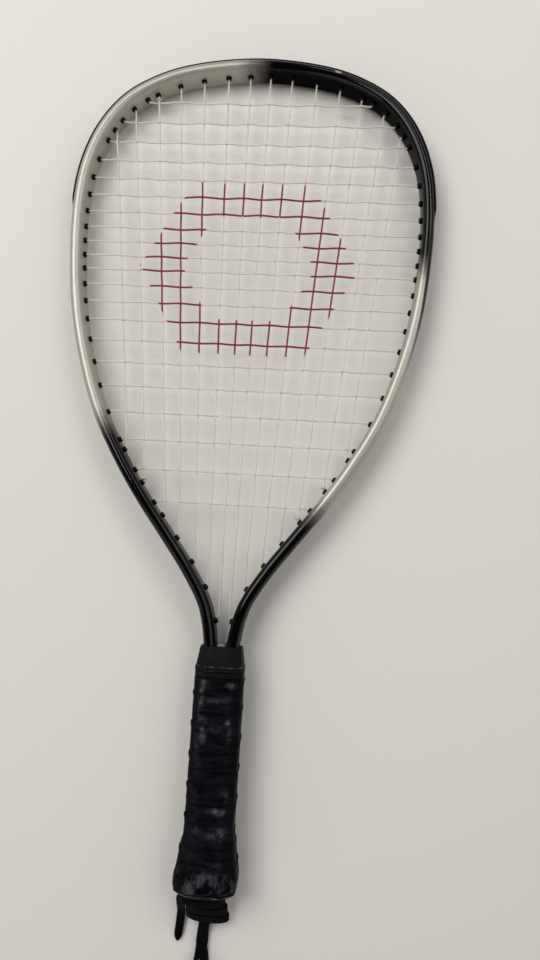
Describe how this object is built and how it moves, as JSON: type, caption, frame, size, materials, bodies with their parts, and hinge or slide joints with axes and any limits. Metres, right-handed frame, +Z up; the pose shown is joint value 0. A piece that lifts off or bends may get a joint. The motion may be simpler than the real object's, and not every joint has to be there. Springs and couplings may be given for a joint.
{
  "type": "racquetball racket",
  "caption": "Racquetball racket with a teardrop metal loop frame, woven strings in plastic grommets, a bumper guard, a wrapped octagonal handle and a webbing wrist strap.",
  "frame": {"origin": "on the surface the racket lies on, under the middle of the racket without its strap", "axes": "+Y from the butt to the tip of the head, +X across the head to the right as seen from the front, +Z up from the surface"},
  "size_m": [0.2522, 0.7075, 0.0347],
  "materials": {
    "frame": "satin champagne silver and gloss black paint",
    "black_plastic": "moulded nylon, black",
    "strings": "clear cream nylon string",
    "plug": "moulded, grey",
    "shell": "foamed polyurethane, dark grey",
    "grip": "synthetic leather, black, worn",
    "tape": "vinyl tape, black",
    "steel": "zinc plated",
    "webbing": "ribbed polyester webbing, black"
  },
  "bodies": {
    "root": {"frame_tube": "frame", "bumper_guard": "black_plastic", "grommet_strip_left": "black_plastic", "grommet_strip_right": "black_plastic", "main_string": "strings", "cross_string": "strings", "main_tie_start": "strings", "main_tie_end": "strings", "cross_tie_start": "strings", "cross_tie_end": "strings", "grip_collar": "black_plastic", "throat_plug": "plug", "handle_front_shell": "shell", "handle_back_shell": "shell", "handle_screw_1": "steel", "handle_screw_2": "steel", "handle_screw_3": "steel", "finishing_tape": "tape", "grip_tape": "grip", "butt_cap": "black_plastic", "butt_screw_right": "steel", "butt_screw_left": "steel", "strap_anchor": "webbing", "strap_loop": "webbing", "strap_knot": "webbing", "strap_tail": "webbing"}
  },
  "joints": []
}
